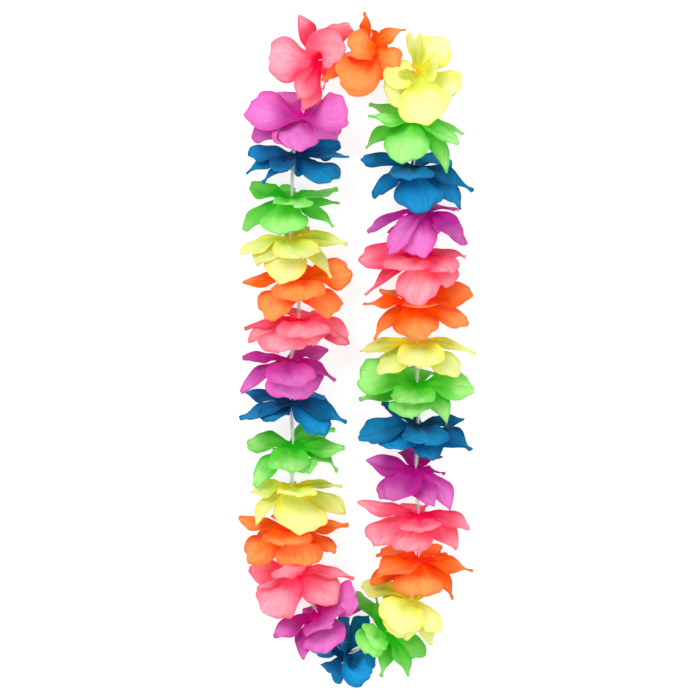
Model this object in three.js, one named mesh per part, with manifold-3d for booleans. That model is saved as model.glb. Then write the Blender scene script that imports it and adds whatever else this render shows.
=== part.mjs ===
// A party lei: thirty cloth flowers threaded on a string, with a clear plastic
// straw between each flower and the next. It lies flat on a surface and is seen
// from above: x to the right, y up along the lei, z toward the viewer, in mm.
import * as THREE from 'three';
import { mergeVertices } from 'three/addons/utils/BufferGeometryUtils.js';
import Module from 'manifold-3d';

const wasm = await Module();
wasm.setup();

// ---- Driving dimensions, mm ----
const STRING_HEIGHT = 28; // string above the surface, held up by the petals
const STRING_RADIUS = 0.5;
const STRING_SIDES = 8;

const STRAW_LENGTH = 26;
const STRAW_OUTER = 1.7; // radius
const STRAW_BORE = 1.2; // radius
const STRAW_SIDES = 6;

const CLOTH = 0.8; // thickness of a petal
const LAYER_RISE = 0.7; // each cloth layer above or below the throat
const HEART = 6.5; // radius of the uncut middle that joins a layer's four petals
const COLLAR_RADIUS = 2.4; // gathered cloth round the string
const COLLAR_LENGTH = 3.2;
const COLLAR_SIDES = 6;
const BORE = 1; // radius of the hole that the string runs in
const GAP = 0.4; // clearance between a bloom's middle and the straw

const SWING = 0.6; // how far a petal turns at its root toward where its tip is
const BEND = 0.42; // share of its length that a petal heads the way it leaves the root
const CUP = 0.2; // rise of a petal's edges as a share of its half width
const COMES_DOWN = [0.25, 0.6]; // shares where a resting petal starts down and lies
const TANGENT_STEP = 0.05; // share of a petal's length that its direction is taken over
const TURN_STEPS = 40; // steps along a petal that its turn is worked out at
const TURN_KEPT = 0.3; // how much of the last step's direction a step keeps

const KNOT_RADIUS = 1.5;
const KNOT_TAIL = 11;
const KNOT_SAG = 10; // the open stretch of string hangs this far below the throats

const PETAL_WIDTH = { round: 34, blunt: 24, tailed: 22, pointed: 24, forked: 26 };

// Share of the half width at each row of a petal, from its root outward.
const OUTLINE = {
  round: [[0.38, 0.84], [0.72, 1], [1, 0.42]],
  blunt: [[0.6, 1], [1, 0.45]],
  tailed: [[0.34, 0.86], [0.62, 0.86], [0.86, 0.16], [1, 0.26]],
  pointed: [[0.5, 1], [1, 0.14]],
  forked: [[0.38, 0.5], [0.72, 0.92], [1, 1]],
};

const COLOURS = {
  pink: 0xff6f88,
  orange: 0xff7a10,
  yellow: 0xeff07a,
  green: 0x6fe04a,
  blue: 0x0a6fb4,
  purple: 0xd557bd,
};

// A petal: its tip measured from the throat (right, up, toward the viewer), its
// form, its width where that isn't the usual one, and how far its tip is turned
// to the viewer, from 0, the way the bloom faces, to 1.
const R = 'round';
const B = 'blunt';
const T = 'tailed';
const P = 'pointed';
const F = 'forked';

// The way a bloom's open side looks: up the column and a little to the viewer.
const UP_COLUMN = [0, 0.94, 0.34];
const OPEN_UP = [0, 0.87, 0.5];

// The thirty blooms in their order on the string, clockwise from the top left.
// at: the throat. face: the open side. through: the string's way through the
// throat, where that isn't the line from the bloom before to the one after.
// Each layer has four petals.
const BLOOMS = [
  {
    colour: 'pink', at: [-31, 215], through: [0.88, 0.3, 0.36], face: [0.7, 0.1, 0.7],
    upper: [
      [22, 27, 22, R, 26, 0.5], [20, 6, 22, R, 30, 0.6],
      [-14, -28, 22, B, 20, 0.6], [6, -14, -25, B],
    ],
    lower: [
      [-36, 1, 8, R, 33, 1], [-12, 33, 14, P, 17, 0.8],
      [-11, -38, 17, P, 18, 0.7], [12, 8, -28, B],
    ],
  },
  {
    colour: 'orange', at: [9, 222], face: [-0.75, 0.1, 0.65],
    upper: [
      [-24, -19, 22, R, 38, 1], [-35, -22, 7, B, 24],
      [-16, 5, 24, R, 24], [-5, 29, 10, T, 12, 0.5],
    ],
    lower: [[26, 17, 4, T, 15, 0.3], [18, -14, 13, R, 28, 1], [-6, -26, 8, B, 28, 0.8], [12, 6, -30, B]],
  },
  {
    colour: 'yellow', at: [44, 205], face: [-0.35, 0.5, 0.79],
    upper: [
      [-15, 5, 24, R, 24, 1], [9, -36, 14, R, 36, 1],
      [13, 7, 28, R, 22, 0.9], [-2, 31, 8, F, 14, 0.8],
    ],
    lower: [
      [-23, -15, 12, R, 30, 0.9], [25, -18, 14, R, 34, 1],
      [19, 27, -2, R, 27, 1], [-20, -4, -26, B],
    ],
  },
  {
    colour: 'green', at: [42, 170], face: UP_COLUMN,
    upper: [
      [-33, 14, -12, T, 22, 0.6], [-34, 4, 14, T, 18, 0.6],
      [32, -16, 16, B], [36, -10, -12, T, 20],
    ],
    lower: [[-37, -19, 2, P, 20, 0.3], [-9, -30, 24, R, 36], [23, -39, 8, P, 18], [4, -16, -30, B]],
  },
  {
    colour: 'blue', at: [42, 135], face: UP_COLUMN,
    upper: [
      [-40, 8, -4, B, 20, 0.4], [-4, -9, 36, R],
      [43, -18, 4, T, 22, 0.5], [26, 6, -24, R, 28, 0.3],
    ],
    lower: [[-30, -23, 4, B, 18, 0.3], [6, -32, 22, R, 38], [34, -29, 6, B, 26], [0, -14, -30, B]],
  },
  {
    colour: 'purple', at: [49, 101], face: UP_COLUMN,
    upper: [
      [27, 3, -26, P, 26], [-41, -14, -2, B, 14, 0.3],
      [-26, -29, 16, R, 24], [28, -21, 16, B, 26],
    ],
    lower: [[-7, -32, 22, R, 30], [32, -24, 2, B, 22], [8, -18, -28, B], [-24, -16, -20, B]],
  },
  {
    colour: 'pink', at: [48, 67], face: UP_COLUMN,
    upper: [[-47, -2, 2, B, 27, 0.8], [-16, -10, 32, R], [21, -11, 19, B, 28], [32, 2, -10, P, 17, 0.3]],
    lower: [[-43, -27, 0, T, 17, 0.3], [-7, -34, 20, R], [20, -21, 10, B, 26], [0, -14, -30, B]],
  },
  {
    colour: 'orange', at: [42, 34], face: UP_COLUMN,
    upper: [[-38, -1, 6, T, 18, 0.4], [4, -4, 35, R, 28], [43, 9, -2, B, 28, 0.6], [-26, 8, -24, P]],
    lower: [[-29, -28, 6, T, 22], [7, -26, 26, R, 37], [39, -17, 8, B, 24, 0.4], [30, -4, -22, B]],
  },
  {
    colour: 'yellow', at: [44, 3], face: UP_COLUMN,
    upper: [[-42, -4, 4, B, 20, 0.3], [2, -18, 32, R, 36], [43, -8, 4, T, 16, 0.4], [-22, -3, -26, B, 20]],
    lower: [[-30, -20, 18, B, 32], [30, -22, 16, R, 32], [14, -14, -30, B], [-30, -12, -16, B, 18]],
  },
  {
    colour: 'green', at: [44, -28], face: OPEN_UP,
    upper: [[-43, 9, 2, R, 34, 0.7], [-6, -14, 33, R], [41, -3, 2, B, 30, 0.6], [2, 12, -28, R]],
    lower: [[-43, -11, -2, T, 26, 0.5], [-2, -21, 28, R, 34], [21, -28, 16, P, 18], [6, -16, -28, B]],
  },
  {
    colour: 'blue', at: [45, -59], face: UP_COLUMN,
    upper: [[-43, -8, 8, R, 34, 0.3], [4, -12, 34, R], [34, 4, -8, P, 19, 0.3], [-26, 18, -20, B, 20]],
    lower: [[-20, -16, 26, R, 30], [12, -24, 24, B, 26], [40, -16, 8, T, 28, 0.6], [0, -8, -30, B]],
  },
  {
    colour: 'purple', at: [43, -92], face: OPEN_UP,
    upper: [
      [-37, 6, 0, P, 23, 0.5], [-24, -20, 22, B, 32],
      [22, -4, -22, T, 14], [6, 16, -22, B, 34, 0.2],
    ],
    lower: [[-26, -22, 4, B], [14, -26, 26, P], [26, -29, 10, P, 22], [2, -9, -30, B]],
  },
  {
    colour: 'pink', at: [45, -126], face: OPEN_UP,
    upper: [[-44, 10, 0, B, 18, 0.3], [3, -11, 35, R, 30], [38, -8, 4, B, 20, 0.2], [-12, -2, -29, R, 26]],
    lower: [[-31, -20, 14, R, 32], [-8, -26, 26, R, 30], [29, -24, 10, P, 26], [4, -16, -28, B]],
  },
  {
    colour: 'orange', at: [45, -159], face: UP_COLUMN,
    upper: [
      [-27, 5, -18, R, 26], [-30, -12, 22, P, 36],
      [40, -9, 2, T, 22, 0.5], [17, 6, -28, R, 26, 0.2],
    ],
    lower: [[-35, -18, 8, P, 30], [0, -25, 27, R, 36], [26, -29, 8, T, 20], [2, -16, -28, B]],
  },
  {
    colour: 'yellow', at: [39, -189], face: [0.38, 0.85, 0.36],
    upper: [[-37, 9, 0, B, 22, 0.5], [-12, -22, 28, R], [15, -24, 18, R, 20], [2, 8, -30, B]],
    lower: [[-20, -2, -28, B, 18], [-4, -28, 22, R, 30], [15, -33, 8, P, 26], [4, -16, -29, B]],
  },
  {
    colour: 'green', at: [20, -214], face: [0.62, 0.62, 0.45],
    upper: [[-20, 30, -10, B], [-12, -4, 28, R, 26], [17, -31, 12, B, 20], [10, 4, -30, B]],
    lower: [[-6, 26, -4, B, 12], [-14, -14, 26, R, 24], [-4, -32, 4, T, 18], [29, -17, -10, B, 26, 0.6]],
  },
  {
    colour: 'blue', at: [-9, -229], face: [0.9, -0.05, 0.43],
    upper: [
      [15, 27, -14, B, 22, 0.6], [-3, 12, 22, R, 12],
      [17, -14, 20, R, 23, 0.8], [22, -8, -10, B, 22, 1],
    ],
    lower: [
      [2, 26, -18, B, 22, 0.5], [-26, 2, -18, R, 22],
      [-15, -17, -6, F, 23, 1], [2, 2, -30, B, 16],
    ],
  },
  {
    colour: 'purple', at: [-30, -200], face: [-0.45, 0.75, 0.48],
    upper: [[-33, -16, 4, B, 22, 0.3], [8, -6, 34, R], [28, 15, 14, R, 32, 0.5], [10, 20, -22, B, 16]],
    lower: [[-13, -33, 12, P, 20], [3, -25, 28, R, 34], [34, 8, -10, B, 24, 0.5], [-10, -2, -32, B]],
  },
  {
    colour: 'pink', at: [-47, -170], face: [-0.3, 0.89, 0.34],
    upper: [[-34, 4, -4, R, 30, 0.2], [-8, 7, 34, R, 26], [43, -3, 2, T, 18, 0.3], [4, 8, -29, R]],
    lower: [
      [-22, -28, 12, R, 40, 0.5], [28, -21, 16, B, 35],
      [6, -14, -28, B], [-29, -11, -14, B, 22, 0.5],
    ],
  },
  {
    colour: 'orange', at: [-51, -137], face: UP_COLUMN,
    upper: [[-38, 8, -4, B, 20, 0.3], [-4, -9, 35, R, 36], [43, 3, -2, T, 22, 0.4], [2, 8, -28, R]],
    lower: [
      [-32, -23, 10, B, 34, 0.3], [12, -25, 22, R, 38],
      [34, -16, 2, B, 20], [-27, -6, -20, B, 18, 0.3],
    ],
  },
  {
    colour: 'yellow', at: [-50, -105], face: UP_COLUMN,
    upper: [[-30, -4, 2, P, 22, 0.5], [4, -6, 36, R, 30], [37, 2, -10, T, 16, 0.3], [-12, -6, -30, B, 18]],
    lower: [[-27, -27, 12, P, 18], [11, -33, 22, R, 40], [40, -20, 2, B, 20, 0.4], [6, -16, -28, B]],
  },
  {
    colour: 'green', at: [-49, -74], face: OPEN_UP,
    upper: [
      [-34, 2, -8, B, 24, 0.4], [-4, -19, 32, R, 32],
      [38, -2, 4, P, 22, 0.3], [31, 12, -22, T, 26, 0.6],
    ],
    lower: [[-29, -30, 4, B, 20], [13, -18, 27, B, 23], [34, -17, 6, T, 16], [-6, -14, -29, B]],
  },
  {
    colour: 'blue', at: [-51, -41], face: UP_COLUMN,
    upper: [
      [-36, -12, 12, B, 26], [41, -16, 4, T, 26, 0.5],
      [23, 5, -26, R, 34, 0.3], [-34, 7, -12, P, 20, 0.4],
    ],
    lower: [[-18, -12, 26, B], [24, -22, 20, R, 26], [14, -12, -28, B], [-20, -10, -26, B]],
  },
  {
    colour: 'purple', at: [-51, -10], face: UP_COLUMN,
    upper: [[-35, 1, 0, B, 18, 0.2], [3, -20, 32, R, 36], [33, -15, 6, P, 18], [28, 7, -20, P, 22, 0.5]],
    lower: [[-38, -22, 8, P, 20, 0.2], [2, -28, 24, R, 36], [17, -21, 12, B, 22], [-4, -6, -29, B]],
  },
  {
    colour: 'pink', at: [-45, 20], face: UP_COLUMN,
    upper: [
      [-40, -6, -4, T, 17, 0.3], [6, -12, 34, R, 38],
      [36, -11, 0, B, 24, 0.3], [0, 4, -29, R, 30],
    ],
    lower: [[-38, -13, 8, P, 26, 0.3], [-14, -21, 28, R, 36], [35, -17, 8, B, 24], [12, -16, 24, B, 26]],
  },
  {
    colour: 'orange', at: [-45, 51], face: UP_COLUMN,
    upper: [
      [-42, -2, 0, B, 20, 0.3], [0, -17, 33, R, 38],
      [38, 5, -10, R, 29, 0.9], [-4, 8, -28, R, 30],
    ],
    lower: [[-25, -28, 11, R, 38], [26, -26, 14, R, 36], [20, -9, -24, P, 20], [-14, -14, -28, B]],
  },
  {
    colour: 'yellow', at: [-51, 81], face: UP_COLUMN,
    upper: [
      [-35, -11, 6, R, 20, 0.2], [8, -14, 33, R, 36],
      [42, -4, 2, T, 22, 0.6], [13, 8, -26, B, 24, 0.3],
    ],
    lower: [[-23, -17, 14, B, 24], [-8, -31, 20, R], [31, -28, 12, T, 20], [-6, -12, -29, B]],
  },
  {
    colour: 'green', at: [-50, 112], face: UP_COLUMN,
    upper: [[-31, 10, -8, B, 23, 0.4], [0, -6, 35, R, 30], [34, 7, -8, T, 17, 0.2], [2, 6, -29, R, 28]],
    lower: [
      [-36, -22, 2, B, 22, 0.2], [-7, -26, 27, R, 36],
      [31, -21, 8, T, 24], [35, -4, -16, T, 18, 0.4],
    ],
  },
  {
    colour: 'blue', at: [-49, 144], face: UP_COLUMN,
    upper: [
      [-33, 0, -2, B, 24, 0.4], [-12, -12, 28, B, 20],
      [41, 0, 2, P, 16], [35, 8, -14, B, 28, 0.7],
    ],
    lower: [[-35, -13, 2, P, 18], [-23, -20, 14, T, 18], [27, -19, 18, R, 34], [4, -14, -29, B]],
  },
  {
    colour: 'purple', at: [-42, 174], face: [0.18, 0.85, 0.5],
    upper: [[-39, 8, 8, R, 36, 0.7], [33, 6, 12, R, 37, 0.6], [12, 14, -22, P], [-14, 18, -20, R, 30]],
    lower: [[-37, -17, 4, B, 26, 0.5], [-6, -25, 27, R], [26, -16, 6, R, 30], [4, -14, -29, B]],
  },
];

const SURFACE = CLOTH / 2; // lowest a petal's middle plane can lie
const RIGHT_ANGLE = Math.PI / 2;
const UP = new THREE.Vector3(0, 0, 1);

// ---- Solids ----

function toManifold(geometry) {
  const bare = geometry.clone();
  bare.deleteAttribute('normal');
  bare.deleteAttribute('uv');
  const merged = mergeVertices(bare, 1e-5);
  return new wasm.Manifold(new wasm.Mesh({
    numProp: 3,
    vertProperties: new Float32Array(merged.attributes.position.array),
    triVerts: new Uint32Array(merged.index.array),
  }));
}

function toGeometry(manifold) {
  const mesh = manifold.getMesh();
  const geometry = new THREE.BufferGeometry();
  geometry.setAttribute('position', new THREE.BufferAttribute(mesh.vertProperties, 3));
  geometry.setIndex(new THREE.BufferAttribute(mesh.triVerts, 1));
  geometry.computeVertexNormals();
  return geometry;
}

function cylinder(radius, length, sides, centre, direction) {
  const geometry = new THREE.CylinderGeometry(radius, radius, length, sides);
  const turn = new THREE.Quaternion().setFromUnitVectors(new THREE.Vector3(0, 1, 0), direction);
  geometry.applyQuaternion(turn);
  geometry.translate(centre.x, centre.y, centre.z);
  return geometry;
}

// ---- Petals ----

// A cloth sheet with no thickness: points, and triangles that all face one way.
class Sheet {
  points = [];
  triangles = [];

  add(point) {
    this.points.push(point);
    return this.points.length - 1;
  }

  // The strip between two rows of three points, a and then b further out.
  strip(a, b) {
    for (const side of [0, 1]) {
      this.triangles.push([a[side], b[side], b[side + 1]], [a[side], b[side + 1], a[side + 1]]);
    }
  }

  normals() {
    const sums = this.points.map(() => new THREE.Vector3());
    for (const triangle of this.triangles) {
      const [a, b, c] = triangle.map((index) => this.points[index]);
      const normal = b.clone().sub(a).cross(c.clone().sub(a));
      triangle.forEach((index) => sums[index].add(normal));
    }
    return sums.map((sum, index) => {
      const resting = this.points[index].z <= SURFACE;
      return resting ? new THREE.Vector3(0, 0, sum.z < 0 ? -1 : 1) : sum.normalize();
    });
  }

  // The edges that only one triangle uses, in that triangle's direction.
  rim() {
    const edges = new Map();
    for (const [a, b, c] of this.triangles) {
      for (const [from, to] of [[a, b], [b, c], [c, a]]) {
        if (!edges.delete(`${to},${from}`)) {
          edges.set(`${from},${to}`, [from, to]);
        }
      }
    }
    return [...edges.values()];
  }

  solid() {
    const normals = this.normals();
    const count = this.points.length;
    const face = (side) => this.points.map((point, index) => (
      point.clone().addScaledVector(normals[index], side * CLOTH / 2)));
    const points = [...face(1), ...face(-1)];
    const triangles = this.triangles.flatMap(([a, b, c]) => (
      [[a, b, c], [a + count, c + count, b + count]]));
    for (const [from, to] of this.rim()) {
      triangles.push([from, from + count, to + count], [from, to + count, to]);
    }
    const geometry = new THREE.BufferGeometry().setFromPoints(points);
    geometry.setIndex(triangles.flat());
    return toManifold(geometry);
  }
}

// Directions in a bloom: round its face by an angle.
function around(frame, angle) {
  return frame.side.clone().multiplyScalar(Math.cos(angle))
    .addScaledVector(frame.over, Math.sin(angle));
}

function bloomFrame(bloom) {
  const face = new THREE.Vector3(...bloom.face).normalize();
  const side = UP.clone().cross(face).normalize();
  const over = face.clone().cross(side);
  const throat = new THREE.Vector3(bloom.at[0], bloom.at[1], STRING_HEIGHT);
  return { face, side, over, throat };
}

function smoothstep(low, high, value) {
  const share = THREE.MathUtils.clamp((value - low) / (high - low), 0, 1);
  return share * share * (3 - 2 * share);
}

// The middle line of a petal: it leaves the heart along its own root and bends
// over to its tip. A petal whose tip is at the surface lies down on it.
function petalLine(frame, root, angle, tip) {
  const rise = Math.asin(tip.clone().normalize().dot(frame.face));
  const leave = around(frame, angle).multiplyScalar(Math.cos(rise / 2))
    .addScaledVector(frame.face, Math.sin(rise / 2));
  const end = frame.throat.clone().add(tip);
  const bend = root.clone().addScaledVector(leave, BEND * end.distanceTo(root));
  const curve = new THREE.QuadraticBezierCurve3(root, bend, end);
  const rests = end.z <= SURFACE;
  return (share) => {
    const point = curve.getPoint(share);
    if (rests) {
      point.z *= 1 - smoothstep(...COMES_DOWN, share);
    }
    point.z = Math.max(point.z, SURFACE);
    return point;
  };
}

// The direction across a petal at even steps along it. Each step keeps some of
// the last one, so that a petal that bends back past its face doesn't flip over.
function petalTurns(frame, line, turn) {
  const found = [];
  for (let step = 0; step <= TURN_STEPS; step += 1) {
    const share = step / TURN_STEPS;
    const along = line(share).sub(line(share - TANGENT_STEP)).normalize();
    const across = frame.face.clone().lerp(UP, turn * share).cross(along);
    const last = found.at(-1);
    if (last) {
      const way = across.dot(last) < 0 ? -1 : 1;
      across.multiplyScalar(way).addScaledVector(last, TURN_KEPT);
      across.addScaledVector(along, -across.dot(along));
    }
    found.push(across.normalize());
  }
  return found;
}

// A layer is one cut cloth: a heart, and four petals a quarter turn apart at
// their roots. The tips go where the cloth has been bent to.
function layerSheet(frame, petals, rise, cup) {
  const sheet = new Sheet();
  const heart = frame.throat.clone().addScaledVector(frame.face, rise);
  const ordered = petals.map(([x, y, z, form, width = PETAL_WIDTH[form], turn = 0]) => {
    const tip = new THREE.Vector3(x, y, z);
    const bearing = Math.atan2(tip.dot(frame.over), tip.dot(frame.side));
    return { tip, form, width, turn, bearing: (bearing + 2 * Math.PI) % (2 * Math.PI) };
  }).sort((a, b) => a.bearing - b.bearing);
  const spin = ordered.reduce((sum, { bearing }, index) => sum + bearing - index * RIGHT_ANGLE, 0) / 4;

  const ring = Array.from({ length: 8 }, (_, index) => (
    sheet.add(heart.clone().addScaledVector(around(frame, spin + (index - 1) * RIGHT_ANGLE / 2), HEART))));
  ring.slice(2).forEach((index, place) => sheet.triangles.push([ring[0], ring[place + 1], index]));

  ordered.forEach(({ tip, form, width, turn, bearing }, index) => {
    const angle = spin + index * RIGHT_ANGLE;
    const swing = Math.atan2(Math.sin(bearing - angle), Math.cos(bearing - angle));
    let row = [0, 1, 2].map((step) => ring[(2 * index + step) % 8]);
    const line = petalLine(frame, sheet.points[row[1]], angle + SWING * swing, tip);
    const lies = petalTurns(frame, line, turn);
    for (const [share, spread] of OUTLINE[form]) {
      const point = line(share);
      const along = point.clone().sub(line(share - TANGENT_STEP)).normalize();
      const across = lies[Math.round(Math.min(share, 1) * TURN_STEPS)].clone();
      across.addScaledVector(along, -across.dot(along)).normalize();
      const up = along.clone().cross(across);
      const half = spread * width / 2;
      const next = [-1, 0, 1].map((side) => {
        const edge = point.clone().addScaledVector(across, side * half);
        edge.addScaledVector(up, Math.abs(side) * cup * half);
        edge.z = Math.max(edge.z, SURFACE);
        return sheet.add(edge);
      });
      sheet.strip(row, next);
      row = next;
    }
  });
  return sheet;
}

function bloomSolid(bloom, direction) {
  const frame = bloomFrame(bloom);
  const collar = cylinder(COLLAR_RADIUS, COLLAR_LENGTH, COLLAR_SIDES, frame.throat, direction);
  const bore = cylinder(BORE, 3 * COLLAR_LENGTH, COLLAR_SIDES, frame.throat, direction);
  return layerSheet(frame, bloom.upper, LAYER_RISE, CUP).solid()
    .add(layerSheet(frame, bloom.lower, -LAYER_RISE, -CUP).solid())
    .add(toManifold(collar))
    .subtract(toManifold(bore));
}

// ---- String and straws ----

const throats = BLOOMS.map((bloom) => new THREE.Vector3(bloom.at[0], bloom.at[1], STRING_HEIGHT));
const knotAt = throats.at(-1).clone().lerp(throats[0], 0.5).setZ(STRING_HEIGHT - KNOT_SAG);

// The string's direction through a bloom.
function stringDirection(index) {
  if (BLOOMS[index].through) {
    return new THREE.Vector3(...BLOOMS[index].through).normalize();
  }
  const before = index === 0 ? knotAt : throats[index - 1];
  const after = index === throats.length - 1 ? knotAt : throats[index + 1];
  return after.clone().sub(before).normalize();
}

const directions = throats.map((_, index) => stringDirection(index));

// How far a bloom's middle reaches along the string at the straw's radius.
function reach(index) {
  const frame = bloomFrame(BLOOMS[index]);
  const lean = Math.acos(Math.abs(frame.face.dot(directions[index])));
  const cloth = STRAW_OUTER * Math.tan(lean) + (LAYER_RISE + CLOTH / 2) / Math.cos(lean);
  return Math.max(cloth, COLLAR_LENGTH / 2) + GAP;
}

// The string bends only between a bloom and a straw.
class StringPath extends THREE.Curve {
  constructor(points) {
    super();
    this.points = points;
  }

  getSpacedPoints() {
    return this.points;
  }

  getTangentAt(share) {
    const index = Math.round(share * (this.points.length - 1));
    const before = this.points[Math.max(index - 1, 0)];
    const after = this.points[Math.min(index + 1, this.points.length - 1)];
    return after.clone().sub(before).normalize();
  }
}

function tube(points, radius, sides) {
  const section = new THREE.Shape(Array.from({ length: sides }, (_, index) => {
    const angle = 2 * Math.PI * index / sides;
    return new THREE.Vector2(radius * Math.cos(angle), radius * Math.sin(angle));
  }));
  return new THREE.ExtrudeGeometry(section, {
    steps: points.length - 1,
    extrudePath: new StringPath(points),
    bevelEnabled: false,
  });
}

// The ends of the string cross in a small knot and stick out a little way.
function stringSolid() {
  const points = throats.flatMap((throat, index) => [-1, 1].map((side) => (
    throat.clone().addScaledVector(directions[index], side * reach(index)))));
  const loop = toManifold(tube([knotAt, ...points, knotAt], STRING_RADIUS, STRING_SIDES));
  const along = throats[0].clone().sub(throats.at(-1)).normalize();
  const wrap = new THREE.TorusGeometry(KNOT_RADIUS, 1.4 * STRING_RADIUS, 5, 8);
  wrap.applyQuaternion(new THREE.Quaternion().setFromUnitVectors(UP, along));
  wrap.translate(knotAt.x, knotAt.y, knotAt.z);
  const core = toManifold(cylinder(KNOT_RADIUS, 2 * KNOT_RADIUS, 6, knotAt, along));
  const tails = [[-0.9, -0.3, -0.3], [-0.8, 0.5, 0.35]].map((lean) => {
    const end = knotAt.clone().addScaledVector(new THREE.Vector3(...lean).normalize(), KNOT_TAIL);
    return toManifold(tube([knotAt, end], STRING_RADIUS, STRING_SIDES));
  });
  return [core, toManifold(wrap), ...tails].reduce((solid, piece) => solid.add(piece), loop);
}

// A straw stands midway between the blooms before and after it.
function strawGeometry(index) {
  const start = throats[index].clone().addScaledVector(directions[index], reach(index));
  const end = throats[index + 1].clone().addScaledVector(directions[index + 1], -reach(index + 1));
  const direction = end.clone().sub(start).normalize();
  const profile = [
    [STRAW_BORE, -1], [STRAW_OUTER, -1], [STRAW_OUTER, 1], [STRAW_BORE, 1], [STRAW_BORE, -1],
  ].map(([radius, side]) => new THREE.Vector2(radius, side * STRAW_LENGTH / 2));
  const geometry = new THREE.LatheGeometry(profile, STRAW_SIDES);
  geometry.applyQuaternion(new THREE.Quaternion().setFromUnitVectors(new THREE.Vector3(0, 1, 0), direction));
  const centre = start.lerp(end, 0.5);
  geometry.translate(centre.x, centre.y, centre.z);
  return geometry;
}

// ---- The lei ----

const lei = new THREE.Group();

function place(name, geometry, material) {
  const mesh = new THREE.Mesh(geometry, material);
  mesh.name = name;
  lei.add(mesh);
}

const number = (index) => String(index + 1).padStart(2, '0');
const cloth = Object.fromEntries(Object.entries(COLOURS).map(([name, color]) => (
  [name, new THREE.MeshStandardMaterial({ color, roughness: 0.85, metalness: 0 })])));
const plastic = new THREE.MeshStandardMaterial({ color: 0xdfe3e0, roughness: 0.3, metalness: 0 });
const thread = new THREE.MeshStandardMaterial({ color: 0xf2f0ea, roughness: 0.9, metalness: 0 });

BLOOMS.forEach((bloom, index) => {
  const solid = bloomSolid(bloom, directions[index]);
  place(`bloom_${number(index)}_${bloom.colour}`, toGeometry(solid), cloth[bloom.colour]);
});
for (let index = 0; index < BLOOMS.length - 1; index += 1) {
  place(`straw_${number(index)}`, strawGeometry(index), plastic);
}
place('string', toGeometry(stringSolid()), thread);

export default lei;
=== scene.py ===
# A party lei: thirty cloth flowers threaded on a string, with a clear plastic straw
# between each flower and the next and the string's knot between the last and the
# first. It is laid out on a pale floor and seen from straight above. Shapes are
# worked out in millimetres and made in metres.
import math
import random

import bmesh
import bpy
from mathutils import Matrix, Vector


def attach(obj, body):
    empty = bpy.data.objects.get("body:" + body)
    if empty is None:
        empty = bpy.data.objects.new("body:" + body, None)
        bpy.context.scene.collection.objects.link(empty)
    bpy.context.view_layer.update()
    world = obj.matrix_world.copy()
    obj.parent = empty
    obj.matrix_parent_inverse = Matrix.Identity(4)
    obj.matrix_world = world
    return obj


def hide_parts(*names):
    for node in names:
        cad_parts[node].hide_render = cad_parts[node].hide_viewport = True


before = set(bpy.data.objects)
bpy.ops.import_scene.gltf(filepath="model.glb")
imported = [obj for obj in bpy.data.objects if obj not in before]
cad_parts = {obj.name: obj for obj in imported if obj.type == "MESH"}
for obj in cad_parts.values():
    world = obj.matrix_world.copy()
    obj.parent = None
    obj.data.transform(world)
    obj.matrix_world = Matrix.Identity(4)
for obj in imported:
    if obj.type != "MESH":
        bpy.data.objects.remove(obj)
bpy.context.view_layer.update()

# ---- Sizes that the solids are made from too, mm ----
MM = 0.001
STRING_HEIGHT = 28
STRING_RADIUS = 0.5
STRAW_LENGTH = 26
STRAW_OUTER = 1.7  # radius
STRAW_BORE = 1.2  # radius
LAYER_RISE = 0.7  # each cloth layer above or below the throat
HEART = 6.5  # radius of the uncut middle that joins a layer's petals
COLLAR_RADIUS = 2.4
COLLAR_LENGTH = 3.2
SOLID_CLOTH = 0.8  # thickness of the cloth in the solids
GAP = 0.4  # between a flower's middle and the end of a straw
SWING = 0.6  # how far a petal turns at its root toward where its tip is
BEND = 0.42  # share of its length that a petal heads the way it leaves the root
COMES_DOWN = (0.25, 0.6)  # shares of its length where a resting petal starts down and lies
TANGENT_STEP = 0.05  # share of a petal's length that its direction is taken over
TURN_STEPS = 40  # steps along a petal that its turn is worked out at
TURN_KEPT = 0.3  # how much of the last step's direction a step keeps
CUP = 0.2  # rise of a petal's edges as a share of its half width
KNOT_RADIUS = 1.5
KNOT_TAIL = 11
KNOT_SAG = 10

# ---- The cloth: sizes in mm, and the rows and columns of its mesh ----
CLOTH = 0.22  # thickness
SURFACE = 0.2  # lowest that the middle of the cloth lies
EYELET = 1.1  # radius of the hole that the string goes through
PETAL_COLUMNS = 18
PETAL_ROWS = 26
HEART_ROWS = 4
ROW_EASE = 1.25  # over 1, a petal's rows are closer together toward its tip
SEAM = 0.02  # points of neighbouring petals nearer than this become one
SLIVER = 0.005  # an edge shorter than this is taken out

# The cloth that is gathered round the string.
COLLAR_PLEATS = 9
COLLAR_COLUMNS = 54
COLLAR_ROWS = 4
COLLAR_WAIST = 1.45  # radius halfway along it
COLLAR_FLARE = 0.7  # how much larger its radius is at its ends
FLUTE = 0.25  # depth of its pleats at its ends
WAIST_FLUTE = 0.4  # share of that depth at its waist

# ---- The string, its knot and the straws: sizes in mm, and counts ----
THREAD_STEP = 0.6  # along the thread from one ring of points to the next
THREAD_SIDES = 12
THREAD_EASE = 6  # times that its corners are rounded off
PLIES = 3
PLY_LENGTH = 3.6  # length of thread in which a ply goes once round
PLY_GROOVE = 0.14  # depth of the grooves between plies as a share of the radius
KNOT_STEPS = 60
KNOT_SIDES = 10
KNOT_GROOVE = 0.1  # the same in the knot
KNOT_UNIT = KNOT_RADIUS / 2.6  # the knot's curve passes 1 to 3 units from its middle
# The knot's two short ends: the way each leaves it, and its rise at its middle.
KNOT_ENDS = [((-0.9, -0.3, -0.3), -0.8), ((-0.8, 0.5, 0.35), -1.6)]
END_EASE = 8
POINT_MERGE = 0.001  # points of a tube nearer than this become one
STRAW_SIDES = 28
STRAW_ROUNDING = 0.12  # of its cut edges
STRAW_PINCH = (0.02, 0.06)  # how far its ends are pressed flat, as a share of its width

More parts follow.
